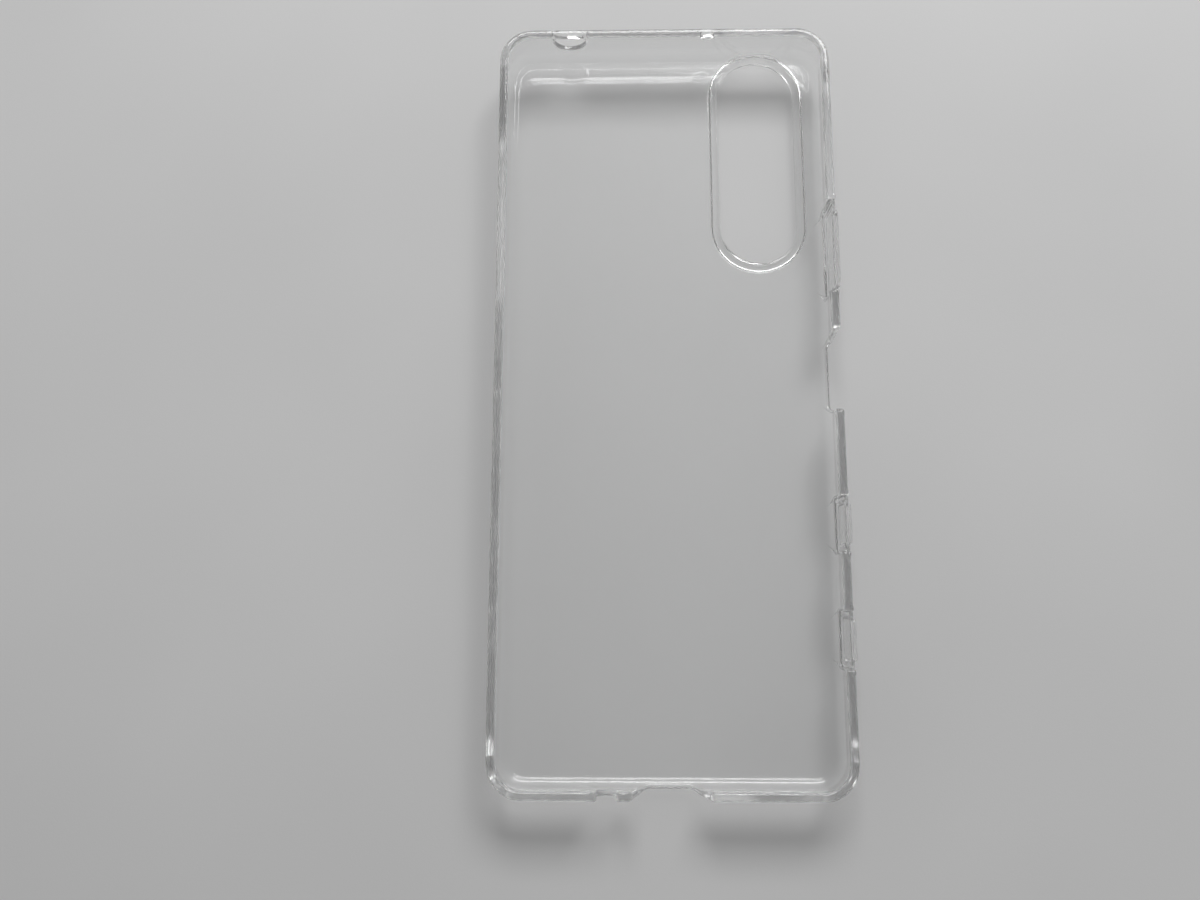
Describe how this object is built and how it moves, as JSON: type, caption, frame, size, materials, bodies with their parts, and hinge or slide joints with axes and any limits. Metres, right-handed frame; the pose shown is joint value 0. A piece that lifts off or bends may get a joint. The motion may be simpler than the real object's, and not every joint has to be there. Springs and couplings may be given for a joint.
{
  "type": "phone case",
  "caption": "Clear flexible one-piece back case for a slim tall phone, with a raised camera window, key covers on one side, holes in one end and notches in the other.",
  "frame": {"origin": "centre of the back panel's outer face", "axes": "+X to the side with the key covers, +Y to the end with the headphone hole, +Z out of the open side"},
  "size_m": [0.0719, 0.16, 0.0113],
  "materials": {
    "clear_moulding": "clear, glossy, flexible polyurethane"
  },
  "bodies": {
    "case": {"back_panel": "clear_moulding", "camera_surround": "clear_moulding", "side_wall_left": "clear_moulding", "side_wall_right": "clear_moulding", "end_wall_top": "clear_moulding", "end_wall_bottom": "clear_moulding", "corner_top_left": "clear_moulding", "corner_top_right": "clear_moulding", "corner_bottom_left": "clear_moulding", "corner_bottom_right": "clear_moulding", "volume_key_web": "clear_moulding", "assistant_key_web": "clear_moulding", "shutter_key_web": "clear_moulding"},
    "volume_key": {"volume_key_cover": "clear_moulding"},
    "assistant_key": {"assistant_key_cover": "clear_moulding"},
    "shutter_key": {"shutter_key_cover": "clear_moulding"}
  },
  "joints": [
    {"name": "volume_key_rock", "type": "hinge", "parent": "case", "child": "volume_key", "pos_m": [0.0352, 0.0306, 0.0056], "axis": [0, 0, 1], "range_deg": [-2.5, 2.5], "stiffness_Nm_per_rad": 0.15, "deforming": ["volume_key_web"]},
    {"name": "assistant_key_press", "type": "slide", "parent": "case", "child": "assistant_key", "axis": [-1, 0, 0], "range_m": [0, 0.0005], "stiffness_N_per_m": 2000, "deforming": ["assistant_key_web"]},
    {"name": "shutter_key_press", "type": "slide", "parent": "case", "child": "shutter_key", "axis": [-1, 0, 0], "range_m": [0, 0.0005], "stiffness_N_per_m": 2000, "deforming": ["shutter_key_web"]}
  ]
}
